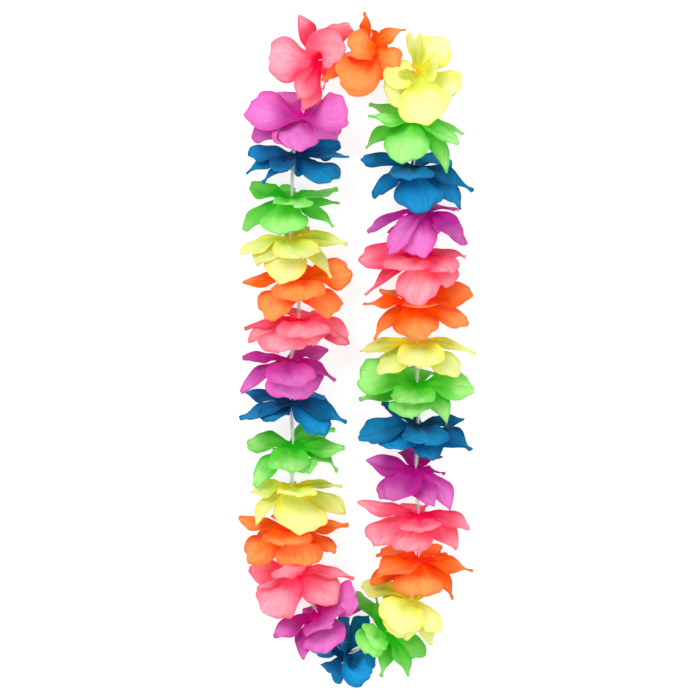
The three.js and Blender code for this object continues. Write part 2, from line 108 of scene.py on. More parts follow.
UP = Vector((0, 0, 1))
QUARTER = math.pi / 2
WHOLE_TURN = 2 * math.pi

# ---- The flowers ----

# Forms of petal, by short names for the table of flowers.
R = "round"
B = "blunt"
T = "tailed"
P = "pointed"
F = "forked"
PETAL_WIDTH = {R: 34, B: 24, T: 22, P: 24, F: 26}

# A petal's half width along it: pairs of share of the length and share of the
# half width. It starts from the heart.
OUTLINE = {
    R: [(0.2, 0.62), (0.38, 0.86), (0.58, 1), (0.74, 1), (0.87, 0.84),
        (0.96, 0.56), (1.01, 0.3), (1.035, 0)],
    B: [(0.25, 0.7), (0.46, 0.97), (0.6, 1), (0.75, 0.88), (0.87, 0.62),
        (0.95, 0.36), (1, 0.2), (1.025, 0)],
    T: [(0.2, 0.68), (0.4, 0.94), (0.54, 0.92), (0.68, 0.64), (0.79, 0.34),
        (0.87, 0.16), (0.93, 0.11), (0.98, 0.15), (1.01, 0.12), (1.02, 0)],
    P: [(0.25, 0.74), (0.45, 0.99), (0.58, 0.97), (0.74, 0.7), (0.88, 0.38),
        (0.96, 0.18), (1, 0.08), (1.02, 0)],
    F: [(0.2, 0.4), (0.38, 0.54), (0.6, 0.82), (0.8, 0.97), (0.94, 1), (1, 0.8)],
}
# A forked petal is shorter at its middle than at its two lobes, by this share. The
# slope says how soon its lobes start, and their outer corners are cut back too.
NOTCH = 0.2
NOTCH_SLOPE = 2.2
CORNER = 0.12
CORNER_STARTS = 0.7  # share of the half width

UP_COLUMN = (0, 0.94, 0.34)
OPEN_UP = (0, 0.87, 0.5)


class Bloom:
    """A flower: its colour, throat, open side and two layers of four petals.

    A petal is its tip measured from the throat (right, up, toward the viewer),
    its form, its width, and how far its tip is turned to the viewer, 0 to 1.
    Through is the string's direction, where that isn't the way from the flower
    before to the flower after.
    """

    def __init__(self, colour, at, face, upper, lower, through=None):
        self.colour = colour
        self.throat = Vector((*at, STRING_HEIGHT))
        self.face = Vector(face).normalized()
        self.side = UP.cross(self.face).normalized()
        self.over = self.face.cross(self.side)
        self.layers = {"upper": upper, "lower": lower}
        self.through = through

    def around(self, angle):
        return self.side * math.cos(angle) + self.over * math.sin(angle)


# Clockwise from the top left.
BLOOMS = [
    Bloom(
        "pink", (-31, 215), (0.7, 0.1, 0.7),
        [(22, 27, 22, R, 26, 0.5), (20, 6, 22, R, 30, 0.6),
         (-14, -28, 22, B, 20, 0.6), (6, -14, -25, B)],
        [(-36, 1, 8, R, 33, 1), (-12, 33, 14, P, 17, 0.8),
         (-11, -38, 17, P, 18, 0.7), (12, 8, -28, B)],
        through=(0.88, 0.3, 0.36),
    ),
    Bloom(
        "orange", (9, 222), (-0.75, 0.1, 0.65),
        [(-24, -19, 22, R, 38, 1), (-35, -22, 7, B, 24),
         (-16, 5, 24, R, 24), (-5, 29, 10, T, 12, 0.5)],
        [(26, 17, 4, T, 15, 0.3), (18, -14, 13, R, 28, 1),
         (-6, -26, 8, B, 28, 0.8), (12, 6, -30, B)],
    ),
    Bloom(
        "yellow", (44, 205), (-0.35, 0.5, 0.79),
        [(-15, 5, 24, R, 24, 1), (9, -36, 14, R, 36, 1),
         (13, 7, 28, R, 22, 0.9), (-2, 31, 8, F, 14, 0.8)],
        [(-23, -15, 12, R, 30, 0.9), (25, -18, 14, R, 34, 1),
         (19, 27, -2, R, 27, 1), (-20, -4, -26, B)],
    ),
    Bloom(
        "green", (42, 170), UP_COLUMN,
        [(-33, 14, -12, T, 22, 0.6), (-34, 4, 14, T, 18, 0.6),
         (32, -16, 16, B), (36, -10, -12, T, 20)],
        [(-37, -19, 2, P, 20, 0.3), (-9, -30, 24, R, 36), (23, -39, 8, P, 18), (4, -16, -30, B)],
    ),
    Bloom(
        "blue", (42, 135), UP_COLUMN,
        [(-40, 8, -4, B, 20, 0.4), (-4, -9, 36, R),
         (43, -18, 4, T, 22, 0.5), (26, 6, -24, R, 28, 0.3)],
        [(-30, -23, 4, B, 18, 0.3), (6, -32, 22, R, 38), (34, -29, 6, B, 26), (0, -14, -30, B)],
    ),
    Bloom(
        "purple", (49, 101), UP_COLUMN,
        [(27, 3, -26, P, 26), (-41, -14, -2, B, 14, 0.3),
         (-26, -29, 16, R, 24), (28, -21, 16, B, 26)],
        [(-7, -32, 22, R, 30), (32, -24, 2, B, 22), (8, -18, -28, B), (-24, -16, -20, B)],
    ),
    Bloom(
        "pink", (48, 67), UP_COLUMN,
        [(-47, -2, 2, B, 27, 0.8), (-16, -10, 32, R),
         (21, -11, 19, B, 28), (32, 2, -10, P, 17, 0.3)],
        [(-43, -27, 0, T, 17, 0.3), (-7, -34, 20, R), (20, -21, 10, B, 26), (0, -14, -30, B)],
    ),
    Bloom(
        "orange", (42, 34), UP_COLUMN,
        [(-38, -1, 6, T, 18, 0.4), (4, -4, 35, R, 28), (43, 9, -2, B, 28, 0.6), (-26, 8, -24, P)],
        [(-29, -28, 6, T, 22), (7, -26, 26, R, 37), (39, -17, 8, B, 24, 0.4), (30, -4, -22, B)],
    ),
    Bloom(
        "yellow", (44, 3), UP_COLUMN,
        [(-42, -4, 4, B, 20, 0.3), (2, -18, 32, R, 36),
         (43, -8, 4, T, 16, 0.4), (-22, -3, -26, B, 20)],
        [(-30, -20, 18, B, 32), (30, -22, 16, R, 32), (14, -14, -30, B), (-30, -12, -16, B, 18)],
    ),
    Bloom(
        "green", (44, -28), OPEN_UP,
        [(-43, 9, 2, R, 34, 0.7), (-6, -14, 33, R), (41, -3, 2, B, 30, 0.6), (2, 12, -28, R)],
        [(-43, -11, -2, T, 26, 0.5), (-2, -21, 28, R, 34),
         (21, -28, 16, P, 18), (6, -16, -28, B)],
    ),
    Bloom(
        "blue", (45, -59), UP_COLUMN,
        [(-43, -8, 8, R, 34, 0.3), (4, -12, 34, R),
         (34, 4, -8, P, 19, 0.3), (-26, 18, -20, B, 20)],
        [(-20, -16, 26, R, 30), (12, -24, 24, B, 26), (40, -16, 8, T, 28, 0.6), (0, -8, -30, B)],
    ),
    Bloom(
        "purple", (43, -92), OPEN_UP,
        [(-37, 6, 0, P, 23, 0.5), (-24, -20, 22, B, 32),
         (22, -4, -22, T, 14), (6, 16, -22, B, 34, 0.2)],
        [(-26, -22, 4, B), (14, -26, 26, P), (26, -29, 10, P, 22), (2, -9, -30, B)],
    ),
    Bloom(
        "pink", (45, -126), OPEN_UP,
        [(-44, 10, 0, B, 18, 0.3), (3, -11, 35, R, 30),
         (38, -8, 4, B, 20, 0.2), (-12, -2, -29, R, 26)],
        [(-31, -20, 14, R, 32), (-8, -26, 26, R, 30), (29, -24, 10, P, 26), (4, -16, -28, B)],
    ),
    Bloom(
        "orange", (45, -159), UP_COLUMN,
        [(-27, 5, -18, R, 26), (-30, -12, 22, P, 36),
         (40, -9, 2, T, 22, 0.5), (17, 6, -28, R, 26, 0.2)],
        [(-35, -18, 8, P, 30), (0, -25, 27, R, 36), (26, -29, 8, T, 20), (2, -16, -28, B)],
    ),
    Bloom(
        "yellow", (39, -189), (0.38, 0.85, 0.36),
        [(-37, 9, 0, B, 22, 0.5), (-12, -22, 28, R), (15, -24, 18, R, 20), (2, 8, -30, B)],
        [(-20, -2, -28, B, 18), (-4, -28, 22, R, 30), (15, -33, 8, P, 26), (4, -16, -29, B)],
    ),
    Bloom(
        "green", (20, -214), (0.62, 0.62, 0.45),
        [(-20, 30, -10, B), (-12, -4, 28, R, 26), (17, -31, 12, B, 20), (10, 4, -30, B)],
        [(-6, 26, -4, B, 12), (-14, -14, 26, R, 24),
         (-4, -32, 4, T, 18), (29, -17, -10, B, 26, 0.6)],
    ),
    Bloom(
        "blue", (-9, -229), (0.9, -0.05, 0.43),
        [(15, 27, -14, B, 22, 0.6), (-3, 12, 22, R, 12),
         (17, -14, 20, R, 23, 0.8), (22, -8, -10, B, 22, 1)],
        [(2, 26, -18, B, 22, 0.5), (-26, 2, -18, R, 22),
         (-15, -17, -6, F, 23, 1), (2, 2, -30, B, 16)],
    ),
    Bloom(
        "purple", (-30, -200), (-0.45, 0.75, 0.48),
        [(-33, -16, 4, B, 22, 0.3), (8, -6, 34, R),
         (28, 15, 14, R, 32, 0.5), (10, 20, -22, B, 16)],
        [(-13, -33, 12, P, 20), (3, -25, 28, R, 34), (34, 8, -10, B, 24, 0.5), (-10, -2, -32, B)],
    ),
    Bloom(
        "pink", (-47, -170), (-0.3, 0.89, 0.34),
        [(-34, 4, -4, R, 30, 0.2), (-8, 7, 34, R, 26), (43, -3, 2, T, 18, 0.3), (4, 8, -29, R)],
        [(-22, -28, 12, R, 40, 0.5), (28, -21, 16, B, 35),
         (6, -14, -28, B), (-29, -11, -14, B, 22, 0.5)],
    ),
    Bloom(
        "orange", (-51, -137), UP_COLUMN,
        [(-38, 8, -4, B, 20, 0.3), (-4, -9, 35, R, 36), (43, 3, -2, T, 22, 0.4), (2, 8, -28, R)],
        [(-32, -23, 10, B, 34, 0.3), (12, -25, 22, R, 38),
         (34, -16, 2, B, 20), (-27, -6, -20, B, 18, 0.3)],
    ),
    Bloom(
        "yellow", (-50, -105), UP_COLUMN,
        [(-30, -4, 2, P, 22, 0.5), (4, -6, 36, R, 30),
         (37, 2, -10, T, 16, 0.3), (-12, -6, -30, B, 18)],
        [(-27, -27, 12, P, 18), (11, -33, 22, R, 40), (40, -20, 2, B, 20, 0.4), (6, -16, -28, B)],
    ),
    Bloom(
        "green", (-49, -74), OPEN_UP,
        [(-34, 2, -8, B, 24, 0.4), (-4, -19, 32, R, 32),
         (38, -2, 4, P, 22, 0.3), (31, 12, -22, T, 26, 0.6)],
        [(-29, -30, 4, B, 20), (13, -18, 27, B, 23), (34, -17, 6, T, 16), (-6, -14, -29, B)],
    ),
    Bloom(
        "blue", (-51, -41), UP_COLUMN,
        [(-36, -12, 12, B, 26), (41, -16, 4, T, 26, 0.5),
         (23, 5, -26, R, 34, 0.3), (-34, 7, -12, P, 20, 0.4)],
        [(-18, -12, 26, B), (24, -22, 20, R, 26), (14, -12, -28, B), (-20, -10, -26, B)],
    ),
    Bloom(
        "purple", (-51, -10), UP_COLUMN,
        [(-35, 1, 0, B, 18, 0.2), (3, -20, 32, R, 36),
         (33, -15, 6, P, 18), (28, 7, -20, P, 22, 0.5)],
        [(-38, -22, 8, P, 20, 0.2), (2, -28, 24, R, 36), (17, -21, 12, B, 22), (-4, -6, -29, B)],
    ),
    Bloom(
        "pink", (-45, 20), UP_COLUMN,
        [(-40, -6, -4, T, 17, 0.3), (6, -12, 34, R, 38),
         (36, -11, 0, B, 24, 0.3), (0, 4, -29, R, 30)],
        [(-38, -13, 8, P, 26, 0.3), (-14, -21, 28, R, 36),
         (35, -17, 8, B, 24), (12, -16, 24, B, 26)],
    ),
    Bloom(
        "orange", (-45, 51), UP_COLUMN,
        [(-42, -2, 0, B, 20, 0.3), (0, -17, 33, R, 38),
         (38, 5, -10, R, 29, 0.9), (-4, 8, -28, R, 30)],
        [(-25, -28, 11, R, 38), (26, -26, 14, R, 36), (20, -9, -24, P, 20), (-14, -14, -28, B)],
    ),
    Bloom(
        "yellow", (-51, 81), UP_COLUMN,
        [(-35, -11, 6, R, 20, 0.2), (8, -14, 33, R, 36),
         (42, -4, 2, T, 22, 0.6), (13, 8, -26, B, 24, 0.3)],
        [(-23, -17, 14, B, 24), (-8, -31, 20, R), (31, -28, 12, T, 20), (-6, -12, -29, B)],
    ),
    Bloom(
        "green", (-50, 112), UP_COLUMN,
        [(-31, 10, -8, B, 23, 0.4), (0, -6, 35, R, 30),
         (34, 7, -8, T, 17, 0.2), (2, 6, -29, R, 28)],
        [(-36, -22, 2, B, 22, 0.2), (-7, -26, 27, R, 36),
         (31, -21, 8, T, 24), (35, -4, -16, T, 18, 0.4)],
    ),
    Bloom(
        "blue", (-49, 144), UP_COLUMN,
        [(-33, 0, -2, B, 24, 0.4), (-12, -12, 28, B, 20),
         (41, 0, 2, P, 16), (35, 8, -14, B, 28, 0.7)],
        [(-35, -13, 2, P, 18), (-23, -20, 14, T, 18), (27, -19, 18, R, 34), (4, -14, -29, B)],
    ),
    Bloom(
        "purple", (-42, 174), (0.18, 0.85, 0.5),
        [(-39, 8, 8, R, 36, 0.7), (33, 6, 12, R, 37, 0.6),
         (12, 14, -22, P), (-14, 18, -20, R, 30)],
        [(-37, -17, 4, B, 26, 0.5), (-6, -25, 27, R), (26, -16, 6, R, 30), (4, -14, -29, B)],
    ),
]


# ---- Curves ----


def smoothstep(low, high, value):
    share = min(max((value - low) / (high - low), 0), 1)
    return share * share * (3 - 2 * share)


def smooth_value(keys, at):
    """A smooth curve through pairs of place and value."""
    for index in range(len(keys) - 1):
        if at <= keys[index + 1][0] or index == len(keys) - 2:
            break
    (x0, y0), (x1, y1) = keys[index], keys[index + 1]
    before = keys[max(index - 1, 0)]
    after = keys[min(index + 2, len(keys) - 1)]
    span = x1 - x0
    slope0 = (y1 - before[1]) / (x1 - before[0]) * span
    slope1 = (after[1] - y0) / (after[0] - x0) * span
    t = min(max((at - x0) / span, 0), 1)
    return (
        (2 * t**3 - 3 * t**2 + 1) * y0
        + (t**3 - 2 * t**2 + t) * slope0
        + (3 * t**2 - 2 * t**3) * y1
        + (t**3 - t**2) * slope1
    )


def petal_line(bloom, root, angle, tip):
    """The middle line of a petal, from its root over to its tip."""
    rise = math.asin(tip.normalized().dot(bloom.face))
    leave = bloom.around(angle) * math.cos(rise / 2) + bloom.face * math.sin(rise / 2)
    end = bloom.throat + tip
    bend = root + leave * (BEND * (end - root).length)
    rests = end.z <= SOLID_CLOTH / 2

    def line(share):
        back = 1 - share
        point = root * back**2 + bend * (2 * share * back) + end * share**2
        if rests:
            point.z *= 1 - smoothstep(*COMES_DOWN, share)
        point.z = max(point.z, SURFACE)
        return point

    return line


def petal_turns(bloom, line, turn):
    """The direction across a petal at even steps along it.

    Each step keeps some of the last one, so that a petal that bends back past
    its face doesn't flip over.
    """
    found = []
    for step in range(TURN_STEPS + 1):
        share = step / TURN_STEPS
        along = (line(share) - line(share - TANGENT_STEP)).normalized()
        across = bloom.face.lerp(UP, turn * share).cross(along)
        if found:
            if across.dot(found[-1]) < 0:
                across.negate()
            across += found[-1] * TURN_KEPT
            across -= along * across.dot(along)
        found.append(across.normalized())
    return found


# ---- Folds of the cloth ----


class Fold:
    """A kind of fold that every petal has.

    Its depth is in mm. It starts and is whole at shares of the petal's length,
    and its wave turns by this many radians over half the petal's width. Only the
    ruffle's wave runs along the petal, and turns by as much over its length.
    """

    def __init__(self, depth, start, whole, turn):
        self.depth = depth
        self.start = start
        self.whole = whole
        self.turn = turn

    def grown(self, share):
        return smoothstep(self.start, self.whole, share)


PLEATS = Fold(1.3, 0, 0.12, 3.2)
CREASES = Fold(0.5, 0.05, 0.4, 1.6)
RUFFLE = Fold(1.2, 0.25, 0.6, 9)
HEM = Fold(0.6, 0.85, 1, 7)
ROLL = Fold(0.5, 0.3, 0.8, 2.5)
ROLL_SLANT = 4  # radians that the roll's wave turns by along a petal
LIP_TURN = 2  # radians that the lip's wave turns by over half the width

# A cup's depth as a share of its full rise, and what it loses along the petal.
CUP_AT_ROOT = 1.6
CUP_LOST = 1.3
CUP_LOSES = (0.05, 0.75)  # shares of the length that it loses this between
CUP_POWER = 1.4  # over 1, the middle of the cup is flat

RIDGE_WIDTH = 0.3  # of the fold down the middle, as a share of the half width
RIDGE_ENDS = (0.2, 1)  # shares of the length where it starts to go, and is gone
LIP_CURLS = (0.75, 1.05)  # where the lip starts to curl, and is curled
ROOT_BLEND = 0.3  # share of its length in which a petal leaves the heart's round edge

# The heart is pleated and drawn in where the string gathers it.
HEART_PLEATS = 8
HEART_PLEAT = 0.45  # depth, mm
HEART_DROP = 0.5  # how far it is drawn in at the eyelet, mm
QUARTER_SPREAD = 0.7  # half width of a quarter of the heart as a share of its radius

# Scallops cut into a hem: their depth by form, as a share of the petal's length, and
# how many radians a wide and a small one turn by over half the width.
SCALLOP = {R: 0.035, B: 0.03}
SCALLOPS_START = (0.5, 1)  # shares of the length where they start and are whole
WIDE_SCALLOP = 4.5
SMALL_SCALLOP = 10
SMALL_DEPTH = 0.6  # as a share of a wide one's

# Ranges of what differs from petal to petal.
CURL = (-3, 2)  # rise of the lip, mm
SKEW = (-0.14, 0.14)  # how far the tip leans to a side, as a share of the half width
WAVER = (0.03, 0.09)  # how far an edge wanders in and out, as a share of the width
WAVER_TURN = 6.5  # radians that its wave turns by along a petal
SQUARE = (-0.1, 0.12)  # how much wider than its outline a round petal's shoulders are
SHOULDERS = (0.7, 0.92)  # shares of the length where they start and are whole
RIDGE = (-1.1, 1.5)  # height of the fold down the middle, mm
ROUND_TONE_WITH_PAINTED_LIGHT = (0.5, 1)  # tone is 0 for the deepest dye and 1 for the palest; round petals, mostly turned to the light, draw paler as painted light
# The other petals draw deeper, partly as painted shade.
TONE = (0, 0.6)


def fold_line(turn):
    """A wave with sharp creases at its tops, -1 to 1."""
    return 1 - 2 * abs(math.sin(turn))


class Petal:
    """Where each point of a petal goes, with the folds of its own draw.

    Layer is 1 for a petal of the upper layer and -1 for one of the lower.
    """

    def __init__(self, bloom, spec, angle, bearing, heart, layer, draw):
        x, y, z, form, *rest = spec
        tip = Vector((x, y, z))
        self.bloom = bloom
        self.form = form
        self.angle = angle
        self.heart = heart
        self.half = (rest[0] if rest else PETAL_WIDTH[form]) / 2
        self.layer = layer
        self.cup = layer * CUP
        swing = math.atan2(math.sin(bearing - angle), math.cos(bearing - angle))
        root = heart + bloom.around(angle) * HEART
        self.line = petal_line(bloom, root, angle + SWING * swing, tip)
        self.turns = petal_turns(bloom, self.line, rest[1] if len(rest) > 1 else 0)
        self.length = (bloom.throat + tip - root).length
        root_share = HEART * math.sin(QUARTER / 2) / self.half
        self.keys = [(0, root_share)] + OUTLINE[form]
        self.reach = self.keys[-1][0]
        self.scallop = SCALLOP.get(form, 0)
        # Where the wave of each of its folds starts.
        self.phase = [draw.uniform(0, WHOLE_TURN) for _ in range(6)]
        self.curl = draw.uniform(*CURL)
        self.skew = draw.uniform(*SKEW)
        self.waver = [draw.uniform(*WAVER), draw.uniform(*WAVER)]
        self.square = draw.uniform(*SQUARE) if form == R else 0
        self.ridge = draw.uniform(*RIDGE)
        # Tone is drawn at random. Round petals draw from a paler range, which is painted light.
        self.tone = draw.uniform(*(ROUND_TONE_WITH_PAINTED_LIGHT if form == R else TONE))

    def heart_point(self, radius, across):
        """A point of the petal's quarter of the heart."""
        angle = self.angle + across * QUARTER / 2
        gather = 1 - smoothstep(EYELET, HEART, radius)
        fold = HEART_PLEAT * gather * math.sin(HEART_PLEATS * angle)
        drop = -self.layer * HEART_DROP * gather
        return self.heart + self.bloom.around(angle) * radius + self.bloom.face * (fold + drop)

    def folds(self, share, across):
        """How far the cloth stands off the petal's plain curve."""
        out = abs(across)
        first, second, third, left, right, wave = self.phase
        side = left if across < 0 else right
        deep = CUP_AT_ROOT - CUP_LOST * smoothstep(*CUP_LOSES, share)
        cup = self.cup * self.half * out**CUP_POWER * deep
        gathered = PLEATS.grown(share) * max(1 - share, 0) ** 1.5
        pleats = PLEATS.depth * gathered * fold_line(PLEATS.turn * across + first)
        ridge = self.ridge * (1 - smoothstep(0, RIDGE_WIDTH, out))
        ridge *= 1 - smoothstep(*RIDGE_ENDS, share)
        creases = CREASES.depth * CREASES.grown(share)
        creases *= fold_line(CREASES.turn * across + share + second)
        ruffle = RUFFLE.depth * out**4 * RUFFLE.grown(share)
        ruffle *= math.sin(RUFFLE.turn * share + side)
        hem = HEM.depth * HEM.grown(share) * math.sin(HEM.turn * across + wave)
        roll = ROLL.depth * ROLL.grown(share)
        roll *= math.sin(ROLL.turn * across + ROLL_SLANT * share + third)
        lip = self.curl * smoothstep(*LIP_CURLS, share) ** 2
        lip *= 0.5 + 0.5 * math.cos(LIP_TURN * across + wave)
        return cup + pleats + ridge + creases + ruffle + hem + roll + lip

    def place(self, share, across):
        """A point of the petal: share of the way out, across from -1 to 1."""
        point = self.section(share, across)
        near_root = 1 - smoothstep(0, ROOT_BLEND, share)
        if near_root > 0:
            ring = self.heart + self.bloom.around(self.angle + across * QUARTER / 2) * HEART
            point += (ring - self.section(0, across)) * near_root
        point.z = max(point.z, SURFACE)
        return point

    def section(self, share, across):
        """The same point before the petal's root is fitted to the heart."""
        out = abs(across)
        if self.form == F:
            notch = NOTCH * max(0, 1 - NOTCH_SLOPE * out)
            corner = CORNER * max(0, out - CORNER_STARTS) / (1 - CORNER_STARTS)
            share *= 1 - notch - corner
        wide = smooth_value(self.keys, share)
        beside = across * wide
        _, second, _, left, right, wave = self.phase
        scallops = math.sin(WIDE_SCALLOP * beside + second)
        scallops += SMALL_DEPTH * math.sin(SMALL_SCALLOP * beside + wave)
        share *= 1 + self.scallop * smoothstep(*SCALLOPS_START, share) * scallops
        line_share = min(share, 1)
        point = self.line(line_share)
        along = (point - self.line(line_share - TANGENT_STEP)).normalized()
        point += along * ((share - line_share) * self.length)
        step = min(int(line_share * TURN_STEPS), TURN_STEPS - 1)
        over = self.turns[step].lerp(self.turns[step + 1], line_share * TURN_STEPS - step)
        over = (over - along * over.dot(along)).normalized()
        up = along.cross(over)
        wide *= self.half
        depth, start = (self.waver[0], left) if across < 0 else (self.waver[1], right)
        waver = depth * math.sin(WAVER_TURN * share + start)
        wide *= 1 + out * waver + self.square * smoothstep(*SHOULDERS, share)
        lean = self.skew * self.half * line_share**2
        return point + over * (across * wide + lean) + up * self.folds(share, across)

    def flat(self, share, across, radius):
        """The same point in the cloth before it was bent, for the weave."""
        turn = self.angle
        out = radius if radius < HEART else HEART + share * self.length
        wide = across * (out * QUARTER_SPREAD if radius < HEART else self.half)
        return (
            out * math.cos(turn) - wide * math.sin(turn),
            out * math.sin(turn) + wide * math.cos(turn),
        )


# ---- Flowers ----

COLLAR_ALONG = 0.06  # how far out on a petal the collar's dye is taken from
COLLAR_TONE = 0.5


def add_petal(mesh, petal, layers):
    """Adds a petal with its quarter of the heart, as one bent grid."""
    rows = HEART_ROWS + PETAL_ROWS
    grid = bmesh.ops.create_grid(mesh, x_segments=PETAL_COLUMNS, y_segments=rows, size=1)
    for vertex in grid["verts"]:
        across = vertex.co.x
        row = round((vertex.co.y + 1) / 2 * rows)
        if row <= HEART_ROWS:
            share = 0
            radius = EYELET + (HEART - EYELET) * row / HEART_ROWS
            point = petal.heart_point(radius, across)
        else:
            step = (row - HEART_ROWS) / PETAL_ROWS
            share = petal.reach * (1 - (1 - step) ** ROW_EASE)
            radius = HEART
            point = petal.place(share, across)
        vertex.co = point * MM
        x, y = petal.flat(share, across, radius)
        vertex[layers["cut_x"]] = x * MM
        vertex[layers["cut_y"]] = y * MM
        vertex[layers["along"]] = (radius + share * petal.length) / (HEART + petal.length)
        vertex[layers["edge"]] = abs(across) if share > 0 else 0
        vertex[layers["tone"]] = petal.tone


def petals_in_order(bloom, specs):
    """The petals by bearing round the face, and the turn of the cut that suits them."""
    found = []
    for spec in specs:
        tip = Vector(spec[:3])
        bearing = math.atan2(tip.dot(bloom.over), tip.dot(bloom.side)) % WHOLE_TURN
        found.append((bearing, spec))
    found.sort(key=lambda item: item[0])
    turns = [bearing - index * QUARTER for index, (bearing, _) in enumerate(found)]
    return found, sum(turns) / len(turns)


def add_collar(mesh, bloom, direction, layers):
    """The gathered cloth round the string, in pleats."""
    side = direction.orthogonal().normalized()
    over = direction.cross(side)
    grid = bmesh.ops.create_grid(mesh, x_segments=COLLAR_COLUMNS, y_segments=COLLAR_ROWS, size=1)
    for vertex in grid["verts"]:
        turn = (vertex.co.x + 1) * math.pi
        level = vertex.co.y
        flute = FLUTE * math.cos(COLLAR_PLEATS * turn)
        radius = COLLAR_WAIST + COLLAR_FLARE * level**2
        radius += flute * (WAIST_FLUTE + (1 - WAIST_FLUTE) * level**2)
        point = bloom.throat + direction * (level * COLLAR_LENGTH / 2)
        point += (side * math.cos(turn) + over * math.sin(turn)) * radius
        vertex.co = point * MM
        vertex[layers["cut_x"]] = turn * COLLAR_RADIUS * MM
        vertex[layers["cut_y"]] = level * COLLAR_LENGTH / 2 * MM
        vertex[layers["along"]] = COLLAR_ALONG
        vertex[layers["edge"]] = 0
        vertex[layers["tone"]] = COLLAR_TONE


def as_object(name, mesh, material):
    """Puts the finished mesh in the scene."""
    data = bpy.data.meshes.new(name)
    mesh.to_mesh(data)
    mesh.free()
    made = bpy.data.objects.new(name, data)
    bpy.context.scene.collection.objects.link(made)
    data.materials.append(material)
    return made


def finish_piece(name, mesh, material):
    """Makes the mesh a smooth piece that rides on the lei's only body."""
    piece = as_object(name, mesh, material)
    piece.data.shade_smooth()
    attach(piece, "root")
    return piece


def make_bloom(index, bloom, direction, material):
    """The two layers of a flower, each one cut piece of cloth."""
    node = f"bloom_{index + 1:02d}_{bloom.colour}"
    for name, specs in bloom.layers.items():
        draw = random.Random(f"{node} {name}")
        mesh = bmesh.new()
        layers = {
            key: mesh.verts.layers.float.new(key)
            for key in ("cut_x", "cut_y", "along", "edge", "tone")
        }
        layer = 1 if name == "upper" else -1
        heart = bloom.throat + bloom.face * (layer * LAYER_RISE)
        found, spin = petals_in_order(bloom, specs)
        for place, (bearing, spec) in enumerate(found):
            angle = spin + place * QUARTER
            petal = Petal(bloom, spec, angle, bearing, heart, layer, draw)
            add_petal(mesh, petal, layers)
        if name == "lower":
            add_collar(mesh, bloom, direction, layers)
        bmesh.ops.remove_doubles(mesh, verts=mesh.verts, dist=SEAM * MM)
        bmesh.ops.dissolve_degenerate(mesh, edges=mesh.edges, dist=SLIVER * MM)
        bmesh.ops.recalc_face_normals(mesh, faces=mesh.faces)
        piece = finish_piece(f"{node}_{name}", mesh, material)
        wall = piece.modifiers.new("cloth thickness", "SOLIDIFY")
        wall.thickness = CLOTH * MM
        wall.offset = 0
        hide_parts(node)


# ---- String and straws ----


def knot_place():
    middle = (BLOOMS[-1].throat + BLOOMS[0].throat) / 2
    middle.z = STRING_HEIGHT - KNOT_SAG
    return middle


def string_directions():
    """The string's direction through each flower."""
    places = [knot_place()] + [bloom.throat for bloom in BLOOMS] + [knot_place()]
    found = []
    for index, bloom in enumerate(BLOOMS):
        way = Vector(bloom.through) if bloom.through else places[index + 2] - places[index]
        found.append(way.normalized())
    return found


def reach(bloom, direction):
    """How far a flower's middle takes up the string."""
    lean = math.acos(abs(bloom.face.dot(direction)))
    cloth = STRAW_OUTER * math.tan(lean) + (LAYER_RISE + SOLID_CLOTH / 2) / math.cos(lean)
    return max(cloth, COLLAR_LENGTH / 2) + GAP


def even_points(corners, step):
    """Points a step apart along straight runs between the corners."""
    points = []
    for start, end in zip(corners, corners[1:]):
        count = max(1, round((end - start).length / step))
        points += [start.lerp(end, index / count) for index in range(count)]
    return points + [corners[-1]]


def eased(points, times):
    """The same line with its corners rounded off."""
    for _ in range(times):
        inner = [(a + b * 2 + c) / 4 for a, b, c in zip(points, points[1:], points[2:])]
        points = [points[0], *inner, points[-1]]
    return points


def add_tube(mesh, points, sides, radius_at):
    """A tube along the points. radius_at gives the radius for a turn and a place."""
    last = len(points) - 1
    frames = []
    side = (points[1] - points[0]).orthogonal().normalized()
    for index in range(last + 1):
        along = (points[min(index + 1, last)] - points[max(index - 1, 0)]).normalized()
        side = (side - along * side.dot(along)).normalized()
        frames.append((side, along.cross(side)))
    grid = bmesh.ops.create_grid(mesh, x_segments=last, y_segments=sides, size=1)
    for vertex in grid["verts"]:
        place = round((vertex.co.x + 1) / 2 * last)
        turn = (vertex.co.y + 1) * math.pi
        side, over = frames[place]
        radius = radius_at(turn, place)
        vertex.co = (points[place] + (side * math.cos(turn) + over * math.sin(turn)) * radius) * MM
    bmesh.ops.remove_doubles(mesh, verts=grid["verts"], dist=POINT_MERGE * MM)
    ends = [edge for edge in mesh.edges if edge.is_boundary]
    bmesh.ops.holes_fill(mesh, edges=ends, sides=sides + 1)
    bmesh.ops.recalc_face_normals(mesh, faces=mesh.faces)


def make_thread(directions, material):
    """The string through every flower and straw: plies twisted together."""
    corners = [knot_place()]
    for bloom, direction in zip(BLOOMS, directions):
        away = direction * reach(bloom, direction)
        corners += [bloom.throat - away, bloom.throat + away]
    corners.append(knot_place())
    points = eased(even_points(corners, THREAD_STEP), THREAD_EASE)

    def plied(turn, place):
        twist = WHOLE_TURN * place * THREAD_STEP / PLY_LENGTH
        return STRING_RADIUS * (1 - PLY_GROOVE + PLY_GROOVE * math.cos(PLIES * (turn - twist)))

    mesh = bmesh.new()
    add_tube(mesh, points, THREAD_SIDES, plied)
    piece = finish_piece("thread", mesh, material)
    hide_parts("string")


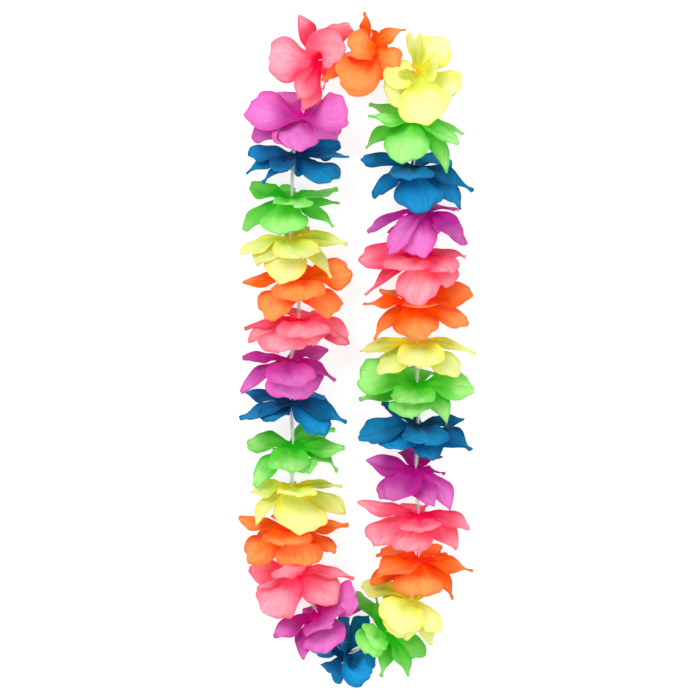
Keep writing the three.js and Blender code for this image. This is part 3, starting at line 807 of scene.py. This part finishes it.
def make_knot(material):
    """The knot that closes the string, with its two short ends."""
    middle = knot_place()
    along = (BLOOMS[0].throat - BLOOMS[-1].throat).normalized()
    side = along.cross(UP).normalized()
    over = along.cross(side)
    loop = []
    for index in range(KNOT_STEPS + 1):
        t = WHOLE_TURN * index / KNOT_STEPS
        x = math.sin(t) + 2 * math.sin(2 * t)
        y = math.cos(t) - 2 * math.cos(2 * t)
        z = -math.sin(3 * t)
        loop.append(middle + (side * x + over * y + along * z) * KNOT_UNIT)

    def plied(turn, place):
        return STRING_RADIUS * (1 - KNOT_GROOVE + KNOT_GROOVE * math.cos(PLIES * turn - place))

    mesh = bmesh.new()
    add_tube(mesh, loop, KNOT_SIDES, plied)
    for way, rise in KNOT_ENDS:
        end = middle + Vector(way).normalized() * KNOT_TAIL
        bend = middle.lerp(end, 0.5) + UP * rise
        corners = [middle, middle.lerp(bend, 0.6), bend.lerp(end, 0.4), end]
        add_tube(mesh, eased(even_points(corners, THREAD_STEP), END_EASE), KNOT_SIDES, plied)
    piece = finish_piece("knot", mesh, material)
    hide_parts("string")


def straw_profile():
    """The cut through one side of a straw, as pairs of radius and level."""
    half = STRAW_LENGTH / 2
    inner = STRAW_BORE + STRAW_ROUNDING
    outer = STRAW_OUTER - STRAW_ROUNDING
    rounded = half - STRAW_ROUNDING
    return [
        (STRAW_BORE, -rounded), (inner, -half), (outer, -half), (STRAW_OUTER, -rounded),
        (STRAW_OUTER, -half / 3), (STRAW_OUTER, half / 3),
        (STRAW_OUTER, rounded), (outer, half), (inner, half), (STRAW_BORE, rounded),
        (STRAW_BORE, half / 3), (STRAW_BORE, -half / 3),
    ]


def make_straw(index, directions, material):
    """A cut length of thin-walled straw between two flowers."""
    start = BLOOMS[index].throat + directions[index] * reach(BLOOMS[index], directions[index])
    after = BLOOMS[index + 1]
    end = after.throat - directions[index + 1] * reach(after, directions[index + 1])
    node = f"straw_{index + 1:02d}"
    draw = random.Random(node)
    mesh = bmesh.new()
    ring = [mesh.verts.new((radius * MM, 0, level * MM)) for radius, level in straw_profile()]
    edges = [mesh.edges.new((ring[place - 1], ring[place])) for place in range(len(ring))]
    bmesh.ops.spin(
        mesh, geom=ring + edges, cent=(0, 0, 0), axis=(0, 0, 1), dvec=(0, 0, 0),
        angle=WHOLE_TURN, steps=STRAW_SIDES, use_merge=True, use_duplicate=False,
    )
    pinch = draw.uniform(*STRAW_PINCH)
    lean = draw.uniform(0, math.pi)
    for vertex in mesh.verts:
        share = abs(vertex.co.z) / (STRAW_LENGTH / 2 * MM)
        turn = math.atan2(vertex.co.y, vertex.co.x)
        squeeze = 1 - pinch * share**3 * (1 + math.cos(2 * (turn - lean))) / 2
        vertex.co.x *= squeeze
        vertex.co.y *= squeeze
    bmesh.ops.recalc_face_normals(mesh, faces=mesh.faces)
    turned = UP.rotation_difference((end - start).normalized()).to_matrix().to_4x4()
    bmesh.ops.transform(mesh, matrix=turned, verts=mesh.verts)
    bmesh.ops.translate(mesh, vec=start.lerp(end, 0.5) * MM, verts=mesh.verts)
    piece = finish_piece(f"{node}_tube", mesh, material)
    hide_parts(node)


# ---- Finishes ----

# Where a colour Mix node keeps its factor and its two colours, and the mixed colour.
MIX_INPUTS = (0, 6, 7)
MIX_OUTPUT = 2


class Graph:
    """A material's nodes, added and joined one after another."""

    def __init__(self, name):
        self.material = bpy.data.materials.new(name)
        self.material.use_nodes = True
        self.tree = self.material.node_tree
        self.tree.nodes.clear()

    def node(self, kind, settings=None, **inputs):
        """Adds a node. An input's name is given with a low line for each space."""
        made = self.tree.nodes.new(kind)
        for key, value in (settings or {}).items():
            setattr(made, key, value)
        for key, value in inputs.items():
            self.feed(made.inputs[key.replace("_", " ")], value)
        return made

    def feed(self, socket, value):
        """Joins another node's output to a socket, or sets the socket's own value."""
        if isinstance(value, bpy.types.NodeSocket):
            self.tree.links.new(value, socket)
        else:
            socket.default_value = value

    def attribute(self, name):
        return self.node("ShaderNodeAttribute", {"attribute_name": name}).outputs["Fac"]

    def position(self):
        return self.node("ShaderNodeTexCoord").outputs["Object"]

    def noise(self, place, scale, detail, roughness=0.5):
        made = self.node("ShaderNodeTexNoise", Vector=place, Scale=scale, Detail=detail)
        self.feed(made.inputs["Roughness"], roughness)
        return made.outputs["Fac"]

    def maths(self, operation, *values):
        made = self.node("ShaderNodeMath", {"operation": operation})
        for socket, value in zip(made.inputs, values):
            self.feed(socket, value)
        return made.outputs[0]

    def mix(self, kind, factor, first, second):
        made = self.node("ShaderNodeMix", {"data_type": "RGBA", "blend_type": kind})
        for place, value in zip(MIX_INPUTS, (factor, first, second)):
            self.feed(made.inputs[place], value)
        return made.outputs[MIX_OUTPUT]

    def ramp(self, value, stops):
        made = self.node("ShaderNodeValToRGB", Fac=value)
        ramp = made.color_ramp
        ramp.interpolation = "EASE"
        while len(ramp.elements) < len(stops):
            ramp.elements.new(0.5)
        for element, (place, colour) in zip(ramp.elements, stops):
            element.position = place
            element.color = colour
        return made.outputs["Color"]

    def spread(self, value, low, high, start=0.0):
        """A value of start to 1, spread out from low to high."""
        made = self.node("ShaderNodeMapRange", Value=value, From_Min=start, To_Min=low, To_Max=high)
        return made.outputs["Result"]

    def bump(self, height, strength, distance):
        made = self.node("ShaderNodeBump", Height=height, Strength=strength, Distance=distance)
        return made.outputs["Normal"]

    def two_shaders(self, share, first, second):
        """Both shaders at once, with this share of the second."""
        made = self.node("ShaderNodeMixShader", Fac=share)
        self.feed(made.inputs[1], first.outputs["BSDF"])
        self.feed(made.inputs[2], second.outputs["BSDF"])
        return made.outputs["Shader"]

    def end(self, surface):
        self.node("ShaderNodeOutputMaterial", Surface=surface)
        return self.material


def shade(red, green, blue):
    """A colour as it looks on a screen, 0 to 255, made linear."""
    parts = []
    for part in (red, green, blue):
        part /= 255
        parts.append(part / 12.92 if part <= 0.04045 else ((part + 0.055) / 1.055) ** 2.4)
    return (*parts, 1)


def grey(level):
    return shade(level, level, level)


WHITE = (1, 1, 1, 1)

# Dyes: in the throat, on the petal, and at the petal's thin outer part. The deep throat colour is
# partly the cloth's dye and partly painted shade, where the layers overlap in the throat.
DYES_WITH_PAINTED_THROAT_SHADE = {
    "pink": (shade(255, 12, 100), shade(253, 114, 146), shade(253, 188, 200)),
    "orange": (shade(254, 68, 0), shade(252, 120, 0), shade(254, 182, 102)),
    "yellow": (shade(244, 226, 40), shade(220, 236, 108), shade(240, 248, 188)),
    "green": (shade(48, 212, 26), shade(114, 222, 72), shade(196, 246, 160)),
    "blue": (shade(0, 80, 134), shade(0, 122, 182), shade(30, 166, 220)),
    "purple": (shade(218, 0, 162), shade(202, 62, 174), shade(232, 144, 218)),
}
# Where each of the three dyes is whole, as shares of the way out from the throat.
DYE_PLACES = (0.12, 0.46, 0.92)
DYE_DRIFT = 0.3  # how far out or in a patch of the cloth takes its dye from
TONE_REACH = 0.45  # how much further out the palest petal takes its dye from
TONE_START = -0.2  # how far out the deepest petal does
# Painted glow: the cloth gives off light in its own colour, so that its shaded parts hardly darken.
# Daylight dyes do give back part of the light they take up.
PAINTED_GLOW = {"pink": 0.22, "orange": 0.22, "yellow": 0.2, "green": 0.18, "blue": 0.1, "purple": 0.2}
# Share of the painted glow along a petal: whole in the throat, 0.45 of it from 0.7 of the way out.
PAINTED_GLOW_STOPS = [(0.1, WHITE), (0.7, (0.45, 0.45, 0.45, 1))]
# Brightness by tone: random, but higher on round petals as painted light and lower on the rest as
# painted shade.
TONE_AND_PAINTED_LIGHT = (0.87, 1.08)
RIM_DYE = 0.45  # share of the throat's dye at a petal's edge
RIM_STARTS = 0.5  # share of the half width
STREAK_SHADE = (0.62, -0.36)  # share of the throat's colour between the streaks and on them: painted crease shade
STREAK_LENGTH = 0.35  # how slowly the streaks change along a petal
STREAK_HEIGHT = 0.6
WEAVE_PITCH = 0.42 * MM  # from one thread of the cloth to the next
WEAVE_HEIGHT = 0.06
WEAVE_SHADE = 0.93  # brightness between the cloth's threads
THROUGH = 0.5  # share of the light that goes through the cloth
CLEAR = 0.78  # share of the light that goes through a straw's wall


def cloth_material(colour):
    # The throat's colour: partly dye, partly painted shade. The streaks and the rims mix it in.
    throat = DYES_WITH_PAINTED_THROAT_SHADE[colour][0]
    g = Graph(f"{colour}_cloth")
    along = g.attribute("along")
    tone = g.attribute("tone")
    cut_x = g.attribute("cut_x")
    cut_y = g.attribute("cut_y")

    # Dye: deep in the throat, thinner at the tips, and uneven in between. The throat's depth is
    # partly painted shade.
    patches = g.noise(g.position(), 48.0, 2.0)
    drift = g.maths("MULTIPLY_ADD", patches, 2 * DYE_DRIFT, -DYE_DRIFT)
    paler = g.maths("MULTIPLY_ADD", tone, TONE_REACH, TONE_START)
    reached = g.maths("ADD", g.maths("ADD", along, paler), drift)
    dye_and_painted_shade = g.ramp(reached, list(zip(DYE_PLACES, DYES_WITH_PAINTED_THROAT_SHADE[colour])))

    # Streaks run out from the throat: noise stretched along the petal. It bumps the cloth and paints
    # shade along the creases in the throat's colour.
    angle = g.maths("ARCTAN2", cut_y, cut_x)
    fan = g.node("ShaderNodeCombineXYZ", X=angle, Y=g.maths("MULTIPLY", along, STREAK_LENGTH), Z=tone)
    crease_shade_and_bumps = g.noise(fan.outputs["Vector"], 9.0, 4.0, 0.6)
    dye_and_painted_shade = g.mix("MIX", g.spread(crease_shade_and_bumps, *STREAK_SHADE), dye_and_painted_shade, throat)

    # The weave: two sets of threads, over and under.
    pitch = WHOLE_TURN / WEAVE_PITCH
    warp = g.maths("SINE", g.maths("MULTIPLY", cut_x, pitch))
    weft = g.maths("SINE", g.maths("MULTIPLY", cut_y, pitch))
    weave = g.maths("MULTIPLY", warp, weft)
    threads = g.spread(weave, WEAVE_SHADE, 1.0)
    shading = g.node("ShaderNodeCombineColor", Red=threads, Green=threads, Blue=threads)
    dye_and_painted_shade = g.mix("MULTIPLY", 1.0, dye_and_painted_shade, shading.outputs["Color"])

    # The dye is deeper toward a petal's edges. Each petal's brightness follows its tone: random, but
    # higher on round petals as painted light and lower on the rest as painted shade.
    rim = g.spread(g.attribute("edge"), 0.0, 1.0, RIM_STARTS)
    dye_and_painted_shade = g.mix("MIX", g.maths("MULTIPLY", rim, RIM_DYE), dye_and_painted_shade, throat)
    tone_and_painted_light = g.spread(tone, *TONE_AND_PAINTED_LIGHT)
    dye_and_painted_shade = g.node("ShaderNodeHueSaturation", Color=dye_and_painted_shade, Value=tone_and_painted_light).outputs["Color"]

    # Painted light: the glow is strongest in the throat, lifting the shade there in place of the
    # light that the folds send to each other.
    painted_glow = g.mix("MULTIPLY", 1.0, dye_and_painted_shade, g.ramp(along, PAINTED_GLOW_STOPS))

    height = g.maths("MULTIPLY_ADD", weave, WEAVE_HEIGHT, g.maths("MULTIPLY", crease_shade_and_bumps, STREAK_HEIGHT))
    body = g.node(
        "ShaderNodeBsdfPrincipled",
        Base_Color=dye_and_painted_shade,
        Roughness=0.62,
        Normal=g.bump(height, 0.35, 0.001),
        Specular_IOR_Level=0.14,
        Sheen_Weight=0.04,
        Sheen_Roughness=0.4,
        Emission_Color=painted_glow,
        Emission_Strength=PAINTED_GLOW[colour],
    )
    lit_through = g.node("ShaderNodeBsdfTranslucent", Color=dye_and_painted_shade)
    return g.end(g.two_shaders(THROUGH, body, lit_through))


def straw_material():
    g = Graph("clear_plastic")
    place = g.position()
    cloud = g.noise(place, 180.0, 3.0)
    scuffs = g.noise(place, 900.0, 2.0)
    body = g.node(
        "ShaderNodeBsdfPrincipled",
        Base_Color=g.ramp(cloud, [(0.3, shade(196, 202, 202)), (0.7, shade(226, 230, 229))]),
        Roughness=g.spread(cloud, 0.16, 0.34),
        Normal=g.bump(scuffs, 0.08, 0.0005),
        Specular_IOR_Level=0.6,
    )
    clear = g.node("ShaderNodeBsdfTransparent", Color=(0.97, 0.98, 0.98, 1))
    return g.end(g.two_shaders(CLEAR, body, clear))


def thread_material():
    g = Graph("white_thread")
    fluff = g.noise(g.position(), 1500.0, 3.0)
    body = g.node(
        "ShaderNodeBsdfPrincipled",
        Base_Color=g.ramp(fluff, [(0.3, shade(222, 220, 214)), (0.7, shade(250, 249, 246))]),
        Roughness=0.85,
        Normal=g.bump(fluff, 0.4, 0.0002),
    )
    return g.end(body.outputs["BSDF"])


def floor_material():
    g = Graph("pale_floor")
    grain = g.noise(g.position(), 3.0, 2.0)
    body = g.node(
        "ShaderNodeBsdfPrincipled",
        Base_Color=g.ramp(grain, [(0.3, grey(142)), (0.7, grey(148))]),
        Roughness=0.9,
        Specular_IOR_Level=0.1,
        Emission_Color=WHITE,
        Emission_Strength=0.76,
    )
    return g.end(body.outputs["BSDF"])


# ---- Stage, light and camera, in metres and watts ----

FLOOR_HALF = 6  # half the floor's width
FLOOR_DROP = 0.0002  # how far the floor is below the lowest that cloth can lie
# Each light's place, width and power. Both point at the middle of the lei.
LIGHTS = {
    "key light": ((-1.2, 1.4, 2.4), 1.6, 62),
    "fill light": ((1.6, -0.8, 2.0), 1.8, 32),
}
CAMERA_AT = (-0.0064, -0.0019, 6.0)
PICTURE_WIDTH = 0.525  # at the height of the string
SENSOR = 36.0  # the camera's own width, mm


def make_floor():
    mesh = bmesh.new()
    bmesh.ops.create_grid(mesh, x_segments=2, y_segments=2, size=FLOOR_HALF)
    bmesh.ops.translate(mesh, vec=(0, 0, -FLOOR_DROP), verts=mesh.verts)
    as_object("floor", mesh, floor_material())


def make_light(name, place, width, power):
    data = bpy.data.lights.new(name, "AREA")
    data.shape = "DISK"
    data.size = width
    data.energy = power
    light = bpy.data.objects.new(name, data)
    light.location = place
    light.rotation_mode = "QUATERNION"
    light.rotation_quaternion = (-Vector(place)).to_track_quat("-Z", "Y")
    bpy.context.scene.collection.objects.link(light)


def make_world():
    world = bpy.data.worlds.new("studio")
    world.use_nodes = True
    sky = world.node_tree.nodes["Background"]
    sky.inputs["Color"].default_value = WHITE
    sky.inputs["Strength"].default_value = 1.0
    bpy.context.scene.world = world


def make_camera():
    """Straight above, where the photograph was taken from."""
    data = bpy.data.cameras.new("camera")
    data.sensor_width = SENSOR
    data.lens = SENSOR * (CAMERA_AT[2] - STRING_HEIGHT * MM) / PICTURE_WIDTH
    data.clip_start = 0.1
    data.clip_end = 50
    camera = bpy.data.objects.new("camera", data)
    camera.location = CAMERA_AT
    bpy.context.scene.collection.objects.link(camera)
    bpy.context.scene.camera = camera


make_camera()
cloths = {colour: cloth_material(colour) for colour in DYES_WITH_PAINTED_THROAT_SHADE}
white = thread_material()
plastic = straw_material()
directions = string_directions()
make_thread(directions, white)
make_knot(white)
for index, bloom in enumerate(BLOOMS):
    make_bloom(index, bloom, directions[index], cloths[bloom.colour])
for index in range(len(BLOOMS) - 1):
    make_straw(index, directions, plastic)
make_floor()
make_world()
for name, (place, width, power) in LIGHTS.items():
    make_light(name, place, width, power)
bpy.context.scene.view_settings.view_transform = "Standard"
